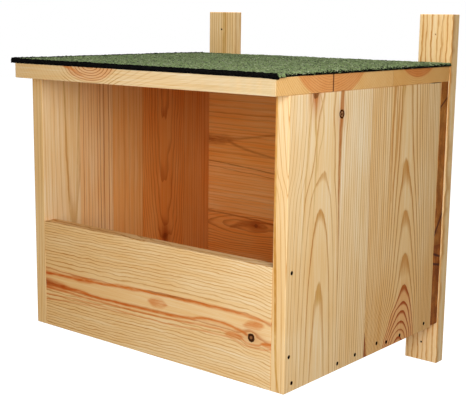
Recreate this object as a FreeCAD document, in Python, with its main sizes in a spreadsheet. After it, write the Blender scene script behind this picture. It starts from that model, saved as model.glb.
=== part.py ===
"""Open-fronted nest box of glued pine board, hung on a wall by two battens.

Millimetres, +Z up. The wall is the plane Y = 0 and the box stands out from it towards -Y.
The origin is the middle of the four pilot holes, on the faces of the battens that meet the wall.
"""
import FreeCAD, Part
import os

import Sketcher
from FreeCAD import Placement, Rotation, Vector

doc = FreeCAD.newDocument("NestBox")

# ------------------------------------------------------------------ driving dimensions
SIZES = [
    ("box_width", 400, "over both side panels"),
    ("box_height", 318, "side panels, lower edge to the underside of the roof"),
    ("side_depth", 320, "side panels, front edge to the back panel"),
    ("board", 18, "thickness of the glued board"),
    ("front_height", 136.5, "low board across the front"),
    ("back_rise", 1.5, "back panel's lower edge above the side panels'"),
    ("box_shift", 2, "box to the left of the battens' middle, as it was nailed together"),
    ("roof_thick", 19, "roof board"),
    ("roof_front", 25, "roof board past the front of the box"),
    ("roof_lip_left", 1.5, "roof board past the left side panel"),
    ("roof_lip_right", 0.8, "roof board past the right side panel"),
    ("felt_thick", 4.5, "roofing felt with its coat of granules"),
    ("felt_left", 10.5, "felt past the left end of the roof board"),
    ("felt_right", 0.3, "felt past the right end of the roof board, at the front"),
    ("felt_slant", 2.2, "how much further the felt reaches at the back of that end"),
    ("felt_setback", 1, "felt's front edge behind the roof board's"),
    ("felt_gap", 0.5, "felt's back edge in front of the battens"),
    ("batten_width", 47, "batten"),
    ("batten_thick", 17, "batten"),
    ("batten_len", 455, "batten"),
    ("batten_below", 54, "batten below the box"),
    ("pilot_dia", 2, "pilot hole for a wall screw"),
    ("pilot_inset", 25, "pilot hole to the end of the batten"),
    ("ease", 0.8, "sanded radius along every edge of a board"),
    ("nail_dia", 2, "round wire nail"),
    ("nail_len", 45, "nail, from the face of the board to its point"),
    ("nail_head", 3.2, "nail head, across"),
    ("nail_head_thick", 1.2, "nail head"),
    ("nail_point", 3, "pointed end of the nail"),
    ("nail_sink", 1.2, "top of the head below the face of the board"),
    ("screw_dia", 3.5, "countersunk wood screw, body"),
    ("screw_len", 30, "screw, head included"),
    ("screw_head", 7, "screw head, across"),
    ("screw_taper", 2.2, "depth of the countersunk head"),
    ("screw_point", 5, "pointed end of the screw"),
    ("socket", 2.6, "drive socket in the screw head, across"),
    ("socket_depth", 1.8, "drive socket"),
    ("hole_room", 0.05, "gap between a fastener and its hole, all round"),
]
SIZE_NAMES = {name for name, _, _ in SIZES}

# Rough shapes a sketch starts from; the sheet's lengths then pull each one to its real size.
ROUGH_ACROSS, ROUGH_ALONG, ROUGH_SLANT = 50, 30, 52
ROUGH_HOLE, ROUGH_PITCH = 20, 300
ROUGH_RADIUS, ROUGH_STEP, ROUGH_DROP = 5, 3, 8
sheet = doc.addObject("Spreadsheet::Sheet", "Sizes")
for row, (name, value, use) in enumerate(SIZES, start=1):
    sheet.set(f"A{row}", name)
    sheet.set(f"B{row}", str(value))
    sheet.set(f"C{row}", use)
    sheet.setAlias(f"B{row}", name)
doc.recompute()

# ------------------------------------------------------------------ places, as formulas of the sizes
BATTEN_FRONT = "( - batten_thick )"
SIDES_BACK = "( - batten_thick - board )"
BOX_FRONT = "( - batten_thick - board - side_depth )"
BOX_LEFT = "( - box_shift - box_width / 2 )"
BOX_RIGHT = "( - box_shift + box_width / 2 )"
INNER_WIDTH = "( box_width - 2 * board )"
BOX_BOTTOM = "( batten_below - batten_len / 2 )"
BOX_TOP = f"( {BOX_BOTTOM} + box_height )"
ROOF_TOP = f"( {BOX_TOP} + roof_thick )"
ROOF_LENGTH = "( box_width + roof_lip_left + roof_lip_right )"
ROOF_DEPTH = "( roof_front + side_depth + board )"
FELT_LENGTH = f"( felt_left + {ROOF_LENGTH} + felt_right )"
BATTEN_MIDDLE = "( box_width / 2 - batten_width / 2 )"


def bind(thing, prop, formula):
    """Tie a property to a formula in which the words are names of sizes."""
    words = [f"Sizes.{word}" if word in SIZE_NAMES else word for word in formula.split()]
    thing.setExpression(prop, " ".join(words))


def place(thing, spot, turn=None):
    if turn is not None:
        thing.Placement = Placement(Vector(), turn)
    for axis, formula in zip("xyz", spot):
        bind(thing, f".Placement.Base.{axis}", formula)


def new_sketch(body, plane, points, name):
    """A closed outline of straight lines on one of the body's own planes."""
    sketch = body.newObject("Sketcher::SketchObject", name)
    support = next(f for f in body.Origin.OriginFeatures if f.Role == plane)
    sketch.AttachmentSupport = [(support, "")]
    sketch.MapMode = "FlatFace"
    count = len(points)
    for i in range(count):
        sketch.addGeometry(Part.LineSegment(points[i], points[(i + 1) % count]), False)
    for i in range(count):
        sketch.addConstraint(Sketcher.Constraint("Coincident", i, 2, (i + 1) % count, 1))
    return sketch


def measure(sketch, name, formula, *target):
    """A named length in a sketch that follows the sheet."""
    index = sketch.addConstraint(Sketcher.Constraint(*target))
    sketch.renameConstraint(index, name)
    bind(sketch, f"Constraints.{name}", formula)


def sawn_piece(name, plane, spot, across, along, thick, across_far=None):
    """A flat piece sawn to an outline from its lower left corner, then given its thickness.

    across_far is the length of the far edge where the right-hand edge runs at a slant.
    """
    body = doc.addObject("PartDesign::Body", name)
    start = [Vector(0, 0), Vector(ROUGH_ACROSS, 0), Vector(ROUGH_ACROSS, ROUGH_ALONG), Vector(0, ROUGH_ALONG)]
    sketch = new_sketch(body, plane, start, name + "_outline")
    sketch.addConstraint(Sketcher.Constraint("Coincident", 0, 1, -1, 1))
    for line, way in ((0, "Horizontal"), (2, "Horizontal"), (3, "Vertical")):
        sketch.addConstraint(Sketcher.Constraint(way, line))
    measure(sketch, "across", across, "Distance", 0, ROUGH_ACROSS)
    measure(sketch, "along", along, "Distance", 3, ROUGH_ALONG)
    if across_far is None:
        sketch.addConstraint(Sketcher.Constraint("Vertical", 1))
    else:
        measure(sketch, "across_far", across_far, "Distance", 2, ROUGH_SLANT)
    pad = body.newObject("PartDesign::Pad", name + "_thickness")
    pad.Profile = sketch
    pad.Reversed = plane == "XZ_Plane"
    bind(pad, "Length", thick)
    place(body, spot)
    doc.recompute()
    return body


def sand_edges(body):
    """Round every edge of a board a little, so it has no sharp arris."""
    sawn = body.Tip
    fillet = body.newObject("PartDesign::Fillet", body.Name + "_sanded")
    fillet.Base = (sawn, [f"Edge{i + 1}" for i in range(len(sawn.Shape.Edges))])
    bind(fillet, "Radius", "ease")
    doc.recompute()
    return body


# ------------------------------------------------------------------ boards and battens
def side_panel(name, left_face):
    spot = (left_face, BOX_FRONT, BOX_BOTTOM)
    return sand_edges(sawn_piece(name, "YZ_Plane", spot, "side_depth", "box_height", "board"))


def back_panel():
    spot = (BOX_LEFT, SIDES_BACK, f"{BOX_BOTTOM} + back_rise")
    height = "box_height - back_rise"
    return sand_edges(sawn_piece("back_panel_board", "XZ_Plane", spot, "box_width", height, "board"))


def front_board():
    spot = (f"{BOX_LEFT} + board", BOX_FRONT, BOX_BOTTOM)
    return sand_edges(sawn_piece("front_board_blank", "XZ_Plane", spot, INNER_WIDTH, "front_height", "board"))


def floor_board():
    spot = (f"{BOX_LEFT} + board", f"{BOX_FRONT} + board", BOX_BOTTOM)
    depth = "side_depth - board"
    return sand_edges(sawn_piece("floor_board_blank", "XY_Plane", spot, INNER_WIDTH, depth, "board"))


def roof_board():
    spot = (f"{BOX_LEFT} - roof_lip_left", f"{BOX_FRONT} - roof_front", BOX_TOP)
    return sand_edges(sawn_piece("roof_board_blank", "XY_Plane", spot, ROOF_LENGTH, ROOF_DEPTH, "roof_thick"))


def roof_felt():
    spot = (f"{BOX_LEFT} - roof_lip_left - felt_left",
            f"{BOX_FRONT} - roof_front + felt_setback", ROOF_TOP)
    depth = f"{ROOF_DEPTH} - felt_setback - felt_gap"
    return sawn_piece("roof_felt", "XY_Plane", spot, FELT_LENGTH, depth, "felt_thick",
                      across_far=f"{FELT_LENGTH} + felt_slant")


def batten(name, middle):
    """A wall batten with a pilot hole near each end, bored through its thickness."""
    spot = (f"{middle} - batten_width / 2", BATTEN_FRONT, "- batten_len / 2")
    body = sand_edges(sawn_piece(name, "XZ_Plane", spot, "batten_width", "batten_len", "batten_thick"))
    holes = body.newObject("Sketcher::SketchObject", name + "_pilots")
    support = next(f for f in body.Origin.OriginFeatures if f.Role == "XZ_Plane")
    holes.AttachmentSupport = [(support, "")]
    holes.MapMode = "FlatFace"
    heights = ("pilot_inset", "batten_len - pilot_inset")
    for i, height in enumerate(heights):
        rough = ROUGH_HOLE + ROUGH_PITCH * i
        holes.addGeometry(Part.Circle(Vector(ROUGH_HOLE, rough), Vector(0, 0, 1), 1), False)
        measure(holes, f"middle{i}", "batten_width / 2", "DistanceX", -1, 1, i, 3, ROUGH_HOLE)
        measure(holes, f"height{i}", height, "DistanceY", -1, 1, i, 3, rough)
        measure(holes, f"bore{i}", "pilot_dia", "Diameter", i, 2)
    pocket = body.newObject("PartDesign::Pocket", name + "_bored")
    pocket.Profile = holes
    pocket.Type = "ThroughAll"
    doc.recompute()
    return body


# ------------------------------------------------------------------ nails, screws and their holes
def turned_shape(name, outline):
    """A round shape about its own Z axis: radii, and depths below the face it is driven into."""
    body = doc.addObject("PartDesign::Body", name)
    start = [Vector(ROUGH_RADIUS + ROUGH_STEP * (i % 2), -ROUGH_DROP * i - 1) for i in range(len(outline))]
    sketch = new_sketch(body, "XZ_Plane", start, name + "_profile")
    for i, (radius, depth) in enumerate(outline):
        if radius == "0":
            sketch.addConstraint(Sketcher.Constraint("PointOnObject", i, 1, -2))
        else:
            measure(sketch, f"radius{i}", radius, "DistanceX", -1, 1, i, 1, 5)
        if depth == "0":
            sketch.addConstraint(Sketcher.Constraint("PointOnObject", i, 1, -1))
        else:
            measure(sketch, f"depth{i}", depth, "DistanceY", i, 1, -1, 1, 8)
    turned = body.newObject("PartDesign::Revolution", name + "_turned")
    turned.Profile = sketch
    turned.ReferenceAxis = (sketch, ["V_Axis"])
    turned.Angle = 360
    doc.recompute()
    return body


nail = turned_shape("nail", [
    ("0", "nail_sink"),
    ("nail_head / 2", "nail_sink"),
    ("nail_head / 2", "nail_sink + nail_head_thick"),
    ("nail_dia / 2", "nail_sink + nail_head_thick"),
    ("nail_dia / 2", "nail_len - nail_point"),
    ("0", "nail_len"),
])
nail_hole = turned_shape("nail_hole", [
    ("0", "0"),
    ("nail_head / 2 + hole_room", "0"),
    ("nail_head / 2 + hole_room", "nail_sink + nail_head_thick + hole_room"),
    ("nail_dia / 2 + hole_room", "nail_sink + nail_head_thick + hole_room"),
    ("nail_dia / 2 + hole_room", "nail_len - nail_point"),
    ("0", "nail_len + hole_room"),
])
screw = turned_shape("screw", [
    ("0", "socket_depth"),
    ("socket / 2", "socket_depth"),
    ("socket / 2", "0"),
    ("screw_head / 2", "0"),
    ("screw_dia / 2", "screw_taper"),
    ("screw_dia / 2", "screw_len - screw_point"),
    ("0", "screw_len"),
])
screw_hole = turned_shape("screw_hole", [
    ("0", "0"),
    ("screw_head / 2 + hole_room", "0"),
    ("screw_dia / 2 + hole_room", "screw_taper + hole_room"),
    ("screw_dia / 2 + hole_room", "screw_len - screw_point"),
    ("0", "screw_len + hole_room"),
])

# The way a fastener is driven: its own axis points down, and is turned to point inwards.
DOWN = Rotation()
TO_THE_LEFT = Rotation(Vector(0, 1, 0), 90)
TO_THE_RIGHT = Rotation(Vector(0, 1, 0), -90)
TO_THE_FRONT = Rotation(Vector(1, 0, 0), -90)


def row_of(name, shape, spots, turn):
    """Copies of one shape at each spot, kept together as one object of separate solids."""
    links = []
    for i, spot in enumerate(spots):
        link = doc.addObject("App::Link", f"{name}_{i}")
        link.LinkedObject = shape
        link.LinkTransform = False
        place(link, spot, turn)
        links.append(link)
    row = doc.addObject("Part::Compound", name)
    row.Links = links
    doc.recompute()
    return row


def fasteners(name, spots, turn, shape=nail, hole=nail_hole):
    """A row of fasteners and the matching row of holes."""
    return row_of(name, shape, spots, turn), row_of(name + "_holes", hole, spots, turn)


def bored(name, board_body, rows):
    """A board with the holes of the given rows cut out of it."""
    holes = doc.addObject("Part::Compound", name + "_all_holes")
    holes.Links = [row_holes for _, row_holes in rows]
    cut = doc.addObject("Part::Cut", name)
    cut.Base = board_body
    cut.Tool = holes
    doc.recompute()
    return cut


# Nails sit at shares of the seam that they close, driven by hand and so not quite in line:
# (share of the seam's length, drift in mm across it).
FLOOR_SEAM = [(0.32, -1), (0.435, 0), (0.585, 2), (0.655, -2), (0.755, -1), (0.945, 0)]
FRONT_SEAM = [(0.07, 5), (0.295, -1), (0.965, 1)]
ROOF_SEAM = [(0.08, 1), (0.35, -1), (0.61, 0), (0.84, 1)]
BACK_SEAM = [(0.1, 0), (0.37, 1), (0.63, -1), (0.9, 0)]
CROSS_SEAM = [(0.18, 0), (0.5, 1), (0.81, -1)]
SCREW_ROW = [0.15, 0.5, 0.85]


def side_nails(side, face, turn):
    """Nails through a side panel into the ends of the floor and of the front board."""
    into_floor = [(face, f"{BOX_FRONT} + {share} * side_depth", f"{BOX_BOTTOM} + board / 2 + {drift}")
                  for share, drift in FLOOR_SEAM]
    into_front = [(face, f"{BOX_FRONT} + board / 2 + {drift}", f"{BOX_BOTTOM} + {share} * front_height")
                  for share, drift in FRONT_SEAM]
    return (fasteners(f"{side}_floor_nails", into_floor, turn),
            fasteners(f"{side}_front_nails", into_front, turn))


def roof_nails(side, middle):
    """Nails down through the roof board into the top edge of a side panel."""
    spots = [(f"{middle} + {drift}", f"{BOX_FRONT} + {share} * side_depth", ROOF_TOP)
             for share, drift in ROOF_SEAM]
    return fasteners(f"{side}_roof_nails", spots, DOWN)


def back_nails(side, middle):
    """Nails through the back panel into the back edge of a side panel."""
    spots = [(f"{middle} + {drift}", BATTEN_FRONT, f"{BOX_BOTTOM} + {share} * box_height")
             for share, drift in BACK_SEAM]
    return fasteners(f"{side}_back_nails", spots, TO_THE_FRONT)


def batten_screws(side, middle):
    """Screws through a batten into the back panel."""
    spots = [(middle, "0", f"{BOX_BOTTOM} + {share} * box_height") for share in SCREW_ROW]
    return fasteners(f"{side}_batten_screws", spots, TO_THE_FRONT, screw, screw_hole)


LEFT_MIDDLE = f"( {BOX_LEFT} + board / 2 )"
RIGHT_MIDDLE = f"( {BOX_RIGHT} - board / 2 )"
left_floor, left_front = side_nails("left", BOX_LEFT, TO_THE_RIGHT)
right_floor, right_front = side_nails("right", BOX_RIGHT, TO_THE_LEFT)
left_roof = roof_nails("left", LEFT_MIDDLE)
right_roof = roof_nails("right", RIGHT_MIDDLE)
left_back = back_nails("left", LEFT_MIDDLE)
right_back = back_nails("right", RIGHT_MIDDLE)
rear_roof = fasteners("rear_roof_nails", [
    (f"{BOX_LEFT} + {share} * box_width", f"{SIDES_BACK} + board / 2 + {drift}", ROOF_TOP)
    for share, drift in CROSS_SEAM], DOWN)
rear_floor = fasteners("rear_floor_nails", [
    (f"{BOX_LEFT} + {share} * box_width", BATTEN_FRONT, f"{BOX_BOTTOM} + board / 2 + {drift}")
    for share, drift in CROSS_SEAM], TO_THE_FRONT)
left_screws = batten_screws("left", f"( - {BATTEN_MIDDLE} )")
right_screws = batten_screws("right", BATTEN_MIDDLE)

# ------------------------------------------------------------------ the pieces
left_side_rows = [left_floor, left_front, left_roof, left_back]
right_side_rows = [right_floor, right_front, right_roof, right_back]
rear_rows = [left_back, right_back, rear_roof, rear_floor, left_screws, right_screws]
pieces = [
    bored("left_side", side_panel("left_side_board", BOX_LEFT), left_side_rows),
    bored("right_side", side_panel("right_side_board", f"{BOX_RIGHT} - board"), right_side_rows),
    bored("back_panel", back_panel(), rear_rows),
    bored("front_board", front_board(), [left_front, right_front]),
    bored("floor_board", floor_board(), [left_floor, right_floor, rear_floor]),
    bored("roof_board", roof_board(), [left_roof, right_roof, rear_roof]),
    roof_felt(),
    bored("left_batten", batten("left_batten_blank", f"( - {BATTEN_MIDDLE} )"), [left_screws]),
    bored("right_batten", batten("right_batten_blank", BATTEN_MIDDLE), [right_screws]),
]
rows = [left_floor, left_front, right_floor, right_front, left_roof, right_roof, left_back,
        right_back, rear_roof, rear_floor, left_screws, right_screws]
pieces += [fastener_row for fastener_row, _ in rows]

# ------------------------------------------------------------------ checks and files
doc.recompute()
for thing in doc.Objects:
    if {"Invalid", "Error"} & set(thing.State):
        raise RuntimeError(f"{thing.Name} is {thing.State}")
for piece in pieces:
    if piece.Shape.isNull() or not piece.Shape.isValid():
        raise RuntimeError(f"{piece.Name} has no valid shape")

os.makedirs("parts", exist_ok=True)
for piece in pieces:
    piece.Label = piece.Name
    piece.Shape.exportStep(f"parts/{piece.Name}.step")
    size = piece.Shape.BoundBox
    print(f"{piece.Name}: {len(piece.Shape.Solids)} solid(s), {piece.Shape.Volume:.0f} mm3, "
          f"{size.XLength:.1f} x {size.YLength:.1f} x {size.ZLength:.1f} mm")
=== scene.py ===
# %% [markdown]
# # An open-fronted nest box in glued pine
#
# The boards, battens, nails and screws come ready made, at their real size. Their shapes are not
# touched here. What this lesson adds is what makes a plain block of the right size look like a
# piece of wood: growth rings that run on round every corner, glue lines, knots and a sanded
# surface, and on the roof a sheet of felt with a coat of mineral granules.
#
# Everything is in metres, +Z is up and the wall is the plane y = 0.

# %% Load the ready-made pieces
import math
import random
from dataclasses import dataclass, field

import bpy
import numpy as np
from mathutils import Matrix, Vector, noise


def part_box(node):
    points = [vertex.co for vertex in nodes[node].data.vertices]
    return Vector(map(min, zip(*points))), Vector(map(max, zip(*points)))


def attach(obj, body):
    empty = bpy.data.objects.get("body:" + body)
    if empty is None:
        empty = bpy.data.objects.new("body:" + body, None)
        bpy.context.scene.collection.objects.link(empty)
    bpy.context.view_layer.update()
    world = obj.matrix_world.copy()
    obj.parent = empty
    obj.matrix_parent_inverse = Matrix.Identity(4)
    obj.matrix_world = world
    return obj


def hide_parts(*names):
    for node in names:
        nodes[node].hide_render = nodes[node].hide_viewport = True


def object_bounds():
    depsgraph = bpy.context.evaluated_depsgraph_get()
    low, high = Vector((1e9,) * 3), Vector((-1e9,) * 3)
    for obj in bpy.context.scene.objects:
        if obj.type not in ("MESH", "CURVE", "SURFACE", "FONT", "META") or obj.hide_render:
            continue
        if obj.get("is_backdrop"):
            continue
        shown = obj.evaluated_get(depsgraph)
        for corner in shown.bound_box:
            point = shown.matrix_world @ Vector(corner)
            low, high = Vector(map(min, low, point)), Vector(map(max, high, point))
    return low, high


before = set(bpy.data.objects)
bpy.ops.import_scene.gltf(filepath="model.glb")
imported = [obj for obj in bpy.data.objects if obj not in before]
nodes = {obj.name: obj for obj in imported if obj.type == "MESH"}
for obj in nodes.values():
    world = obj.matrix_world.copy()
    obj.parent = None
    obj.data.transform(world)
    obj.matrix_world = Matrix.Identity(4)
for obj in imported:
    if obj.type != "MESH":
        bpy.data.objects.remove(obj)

cad_low, cad_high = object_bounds()
print("pieces:", len(nodes), "size:", [round(b - a, 4) for a, b in zip(cad_low, cad_high)])

# %% [markdown]
# ## Wood as a solid
#
# A picture of wood wrapped on a board gives itself away at the corners, where the grain stops. A
# board is a block cut out of a log, and what shows on each face is where that face cuts the log's
# rings. So the finish is worked out in space: each point of a board knows how far it is from the
# middle of its tree, and that distance, divided by the width of a year's growth, gives its ring.
#
# A face that runs nearly along the rings shows long pointed arches, because a log tapers and is
# never quite straight. A face across the rings shows fine parallel lines, and the sawn end shows
# arcs. None of these has to be drawn: all three come from the one sum.
#
# The nodes for such a sum are many, so a small helper first lets them be written as arithmetic.

# %% A helper that writes shader nodes as arithmetic
class Graph:
    """The node tree of one material. Each method adds a node and returns its output."""

    def __init__(self, name):
        self.material = bpy.data.materials.new(name)
        self.material.use_nodes = True
        self.tree = self.material.node_tree
        self.tree.nodes.clear()

    def add(self, kind, inputs=(), **settings):
        node = self.tree.nodes.new(kind)
        for key, value in settings.items():
            setattr(node, key, value)
        for key, value in dict(inputs).items():
            self.feed(node.inputs[key], value)
        return node

    def feed(self, socket, value):
        if isinstance(value, bpy.types.NodeSocket):
            self.tree.links.new(value, socket)
        else:
            socket.default_value = value

    def sum(self, operation, *values, clamp=False):
        return self.add("ShaderNodeMath", dict(enumerate(values)), operation=operation,
                        use_clamp=clamp).outputs[0]

    def plus(self, a, *more):
        for b in more:
            a = a + b if plain(a, b) else self.sum("ADD", a, b)
        return a

    def minus(self, a, b):
        return a - b if plain(a, b) else self.sum("SUBTRACT", a, b)

    def times(self, a, *more):
        for b in more:
            a = a * b if plain(a, b) else self.sum("MULTIPLY", a, b)
        return a

    def over(self, a, b):
        return self.sum("DIVIDE", a, b)

    def most(self, a, b):
        return self.sum("MAXIMUM", a, b)

    def step(self, value, edge):
        """1 where value is past edge, else 0."""
        return self.sum("GREATER_THAN", value, edge)

    def ramp(self, value, start, end, low=0.0, high=1.0):
        """Goes smoothly from low to high as value goes from start to end."""
        inputs = {"Value": value, "From Min": start, "From Max": end, "To Min": low, "To Max": high}
        return self.add("ShaderNodeMapRange", inputs, interpolation_type="SMOOTHSTEP").outputs[0]

    def bell(self, value, width):
        """1 at value 0, falling to almost 0 at twice the width either side."""
        share = self.over(value, width)
        return self.sum("EXPONENT", self.times(share, share, -1.0))

    def path(self, place, points):
        """A smooth line through given points: (place along the board, value there)."""
        places, values = zip(*points)
        low, high = min(values), max(values)
        if high == low:
            return low
        reach = places[-1] - places[0]
        share = self.over(self.minus(place, places[0]), reach)
        node = self.add("ShaderNodeFloatCurve", {"Value": share})
        node.mapping.extend = "HORIZONTAL"
        curve = node.mapping.curves[0]
        curve.points[0].location = (0.0, (values[0] - low) / (high - low))
        curve.points[1].location = (1.0, (values[-1] - low) / (high - low))
        for spot, value in points[1:-1]:
            curve.points.new((spot - places[0]) / reach, (value - low) / (high - low))
        for point in curve.points:
            point.handle_type = "AUTO_CLAMPED"
        node.mapping.update()
        return self.plus(self.times(node.outputs[0], high - low), low)

    def along(self, place, value):
        """A value that may be one number, or a list of points to pass through."""
        return self.path(place, value) if isinstance(value, (list, tuple)) else value

    def vector(self, x, y, z):
        return self.add("ShaderNodeCombineXYZ", {0: x, 1: y, 2: z}).outputs[0]

    def noise(self, vector, detail=2.0, roughness=0.5):
        """Smooth noise about 0, mostly within -0.5 and 0.5, one bump to a unit."""
        node = self.add("ShaderNodeTexNoise",
                        {"Vector": vector, "Scale": 1.0, "Detail": detail, "Roughness": roughness})
        return self.minus(node.outputs["Fac"], 0.5)

    def chance(self, value):
        """A number from 0 to 1 that jumps whenever value changes."""
        return self.add("ShaderNodeTexWhiteNoise", {"W": value}, noise_dimensions="1D").outputs["Value"]

    def blend(self, share, a, b):
        """Colour a turning into b as share goes from 0 to 1."""
        node = self.add("ShaderNodeMix", {0: share, 6: a, 7: b}, data_type="RGBA")
        return node.outputs[2]

    def finish(self, colour, roughness, height, relief, gloss):
        """The surface itself: colour, roughness, a height in metres and how much it shines."""
        bump = self.add("ShaderNodeBump", {"Height": height, "Distance": relief, "Strength": 1.0})
        shader = self.add("ShaderNodeBsdfPrincipled", {
            "Base Color": colour, "Roughness": roughness, "Specular IOR Level": gloss,
            "Normal": bump.outputs[0]})
        out = self.add("ShaderNodeOutputMaterial")
        self.tree.links.new(shader.outputs[0], out.inputs[0])
        return self.material


def plain(*values):
    """True when every value is an ordinary number."""
    return all(isinstance(value, (int, float)) for value in values)


# %% [markdown]
# ## What a board is made of
#
# Glued board is built from staves: strips as long as the board, sawn from different logs and
# glued edge to edge. Each stave has its own tree, so it gets its own distance to the pith, its own
# ring width and its own tint. The list below says how each visible stave was cut. A pith far to
# the side gives fine straight lines; a pith a few centimetres behind the face gives arches.
#
# Colours are linear light. Young wood of spring is pale and wide, summer wood is narrow and brown.

# %% Staves, knots and streaks
MM = 1000.0

SPRING_WOOD = (0.86, 0.62, 0.335, 1)
SUMMER_WOOD = (0.60, 0.300, 0.080, 1)
HEART_SPRING = (0.86, 0.435, 0.145, 1)
EMBER = (0.93, 0.435, 0.112, 1)
ROSE = (0.79, 0.430, 0.190, 1)
HEART_SUMMER = (0.50, 0.150, 0.030, 1)
KNOT_WOOD = (0.42, 0.20, 0.085, 1)
# Dark knot rims; the same colour also paints the shade of the gap under the roof.
KNOT_RIM_AND_GAP_SHADE = (0.040, 0.006, 0.0008, 1)
# Painted shade: the dark of nail and pilot holes, laid on the wood round them.
HOLE_SHADE = (0.018, 0.003, 0.0004, 1)
STAIN = (0.38, 0.155, 0.030, 1)
RESIN = (0.38, 0.115, 0.014, 1)
RESIN_RED = (0.46, 0.130, 0.018, 1)
CRACK = (0.13, 0.034, 0.006, 1)
PALE = (0.70, 0.565, 0.36, 1)
TIP = (0.66, 0.35, 0.11, 1)
BROWN = (0.50, 0.205, 0.052, 1)
AMBER = (0.66, 0.215, 0.036, 1)
GOLD = (0.64, 0.37, 0.105, 1)


@dataclass
class Stave:
    """One strip of a glued board, in millimetres. Any value may be a path along the board."""
    start: float            # where the strip begins, from the board's low edge
    across: object          # pith, from the same edge
    behind: object          # pith, behind the face
    ring: float = 2.6       # width of a year's growth
    sway: float = 4.0       # how far the log wanders
    wave: float = 1.2       # how uneven the lines are
    uneven: float = 1.6     # how much ring widths differ
    dark: float = 0.8       # strength of the summer wood
    # On the left panel this deepening also holds painted shade, for the dark inside the box.
    deep_and_shade: object = 0.0      # deeper and redder above 0, paler below
    heart: object = 0.0     # radius of the red heartwood
    blush: float = 1.0      # how much the heart's spring wood reddens too
    fade: float = 0.55      # where in the ring the summer wood begins


@dataclass
class Knot:
    along: float
    across: float
    radius: float
    pull: float = 0.8       # how strongly the grain flows round it
    halo: float = 0.5       # darker wood around it
    eye: float = 0.3        # radius of the dark middle, as a share of the knot
    pale: float = 0.68      # radius of the paler wood round it
    bark: float = 1.0       # strength of the dark rim


@dataclass
class Streak:
    """A line of dark wood, resin or painted shade that follows a path of (along, across) points."""
    path: list
    width: object = 1.6
    strength: object = 1.0
    colour: tuple = RESIN
    loose: float = 1.0      # how much the line wanders
    on_edge: bool = False   # across is then counted through the board, on its low edge
    fade: float = 3.0       # length over which its ends die away
    soft: bool = False      # a patch that melts into the wood round it


@dataclass
class Board:
    grain: str              # the axes along the grain, across the board and through it
    low: tuple              # where the three are measured from, in metres
    face: tuple = (1, 1, 1)  # -1 where an axis is counted backwards
    staves: list = field(default_factory=list)
    knots: list = field(default_factory=list)
    streaks: list = field(default_factory=list)
    seed: float = 0.0
    ripple: float = 0.0     # short waves in the lines
    ends: float = 0.45      # how much deeper the sawn ends are
    holes: list = field(default_factory=list)   # (along, across) of nail and pilot holes
    # Radius of the painted shade round each hole, where the hole lies in shadow:
    hole_shade_radius: float = 2.2       # radius of the dark mark each of them leaves
    fibre: float = 1.0      # strength of the fine streaks between the rings
    stain: float = 0.0      # how much the sawn ends have darkened to heartwood brown
    checks: list = field(default_factory=list)  # (across in front, across behind, width) of dark cuts there
    edge: float = 0.0       # how much deeper the long narrow edges are
    flush: tuple = HEART_SPRING     # the heart's spring wood


def arches(first, ring, tips, low=0.0, high=330.0):
    """Depths of a pith whose rings come to a point at each of the given places."""
    depths = [(tip, first + ring * i) for i, tip in enumerate(tips)]
    before = (low, first - ring * min(0.6, (tips[0] - low) / (tips[1] - tips[0])))
    after = (high, depths[-1][1] + ring * 0.6)
    return [before] + depths + [after]


def pick(g, steps, values):
    """The value that belongs to the stave which a point is in."""
    result = values[0]
    for past, before, after in zip(steps, values, values[1:]):
        if plain(before, after) and before == after:
            continue
        result = g.plus(result, g.times(past, g.minus(after, before)))
    return result


def board_axes(g, board):
    """Places along, across and through the board, in millimetres."""
    point = g.add("ShaderNodeTexCoord").outputs["Object"]
    split = g.add("ShaderNodeSeparateXYZ", {0: point})
    places = []
    for axis, low, way in zip(board.grain, board.low, board.face):
        place = g.minus(split.outputs["xyz".index(axis)], low)
        places.append(g.times(place, MM * way))
    return places


def nail_places(name, drive):
    """Where each nail of a ready-made piece stands, seen along the axis it is driven."""
    spots = []
    for vertex in nodes[name].data.vertices:
        place = Vector([vertex.co[i] for i in range(3) if i != drive])
        near = [spot for spot in spots if (spot[0] - place).length < 0.005]
        if near:
            near[0].append(place)
        else:
            spots.append([place])
    return [(sum((p.x for p in spot)) / len(spot), sum((p.y for p in spot)) / len(spot)) for spot in spots]


def facing(g, board, axis):
    """1 where the surface faces along one of the board's axes: 0 its sawn ends, 1 its long edges."""
    normal = g.add("ShaderNodeNewGeometry").outputs["True Normal"]
    split = g.add("ShaderNodeSeparateXYZ", {0: normal})
    return g.ramp(g.sum("ABSOLUTE", split.outputs["xyz".index(board.grain[axis])]), 0.4, 0.75)


# %% [markdown]
# ## Knots
#
# A knot is a branch cut through: a dark rim of bark, paler wood inside it, and a small dark middle.
# The trunk's grain parts to let it by and closes again behind it, like water round a post.

# %% Knots
def knots_of(g, board, along, across):
    """The bent place across the board, and how much rim, inner wood and halo there is."""
    bent, rim, inner, halo = across, 0.0, 0.0, 0.0
    for knot in board.knots:
        size = knot.radius
        ahead = g.minus(along, knot.along)
        aside = g.minus(across, knot.across)
        reach = g.times(g.bell(ahead, size * 3.2), g.bell(aside, size * 3.0), knot.pull)
        bent = g.minus(bent, g.times(aside, reach))
        rough = g.noise(g.vector(g.over(along, 4), g.over(across, 4), board.seed))
        span = g.sum("SQRT", g.plus(g.times(ahead, ahead), g.times(aside, aside)))
        span = g.plus(g.over(span, size), g.times(rough, 0.5))
        rim = g.most(rim, g.ramp(span, 1.12, 0.92, 0.0, knot.bark))
        between = g.ramp(span, knot.pale + 0.1, knot.pale - 0.1)
        if knot.eye:
            between = g.times(between, g.ramp(span, knot.eye - 0.08, knot.eye + 0.08))
        inner = g.most(inner, g.times(between, knot.bark))
        glow = g.times(g.bell(ahead, size * 3.6), g.bell(aside, size * 1.7), knot.halo)
        halo = g.most(halo, glow)
    return bent, rim, inner, halo
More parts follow.
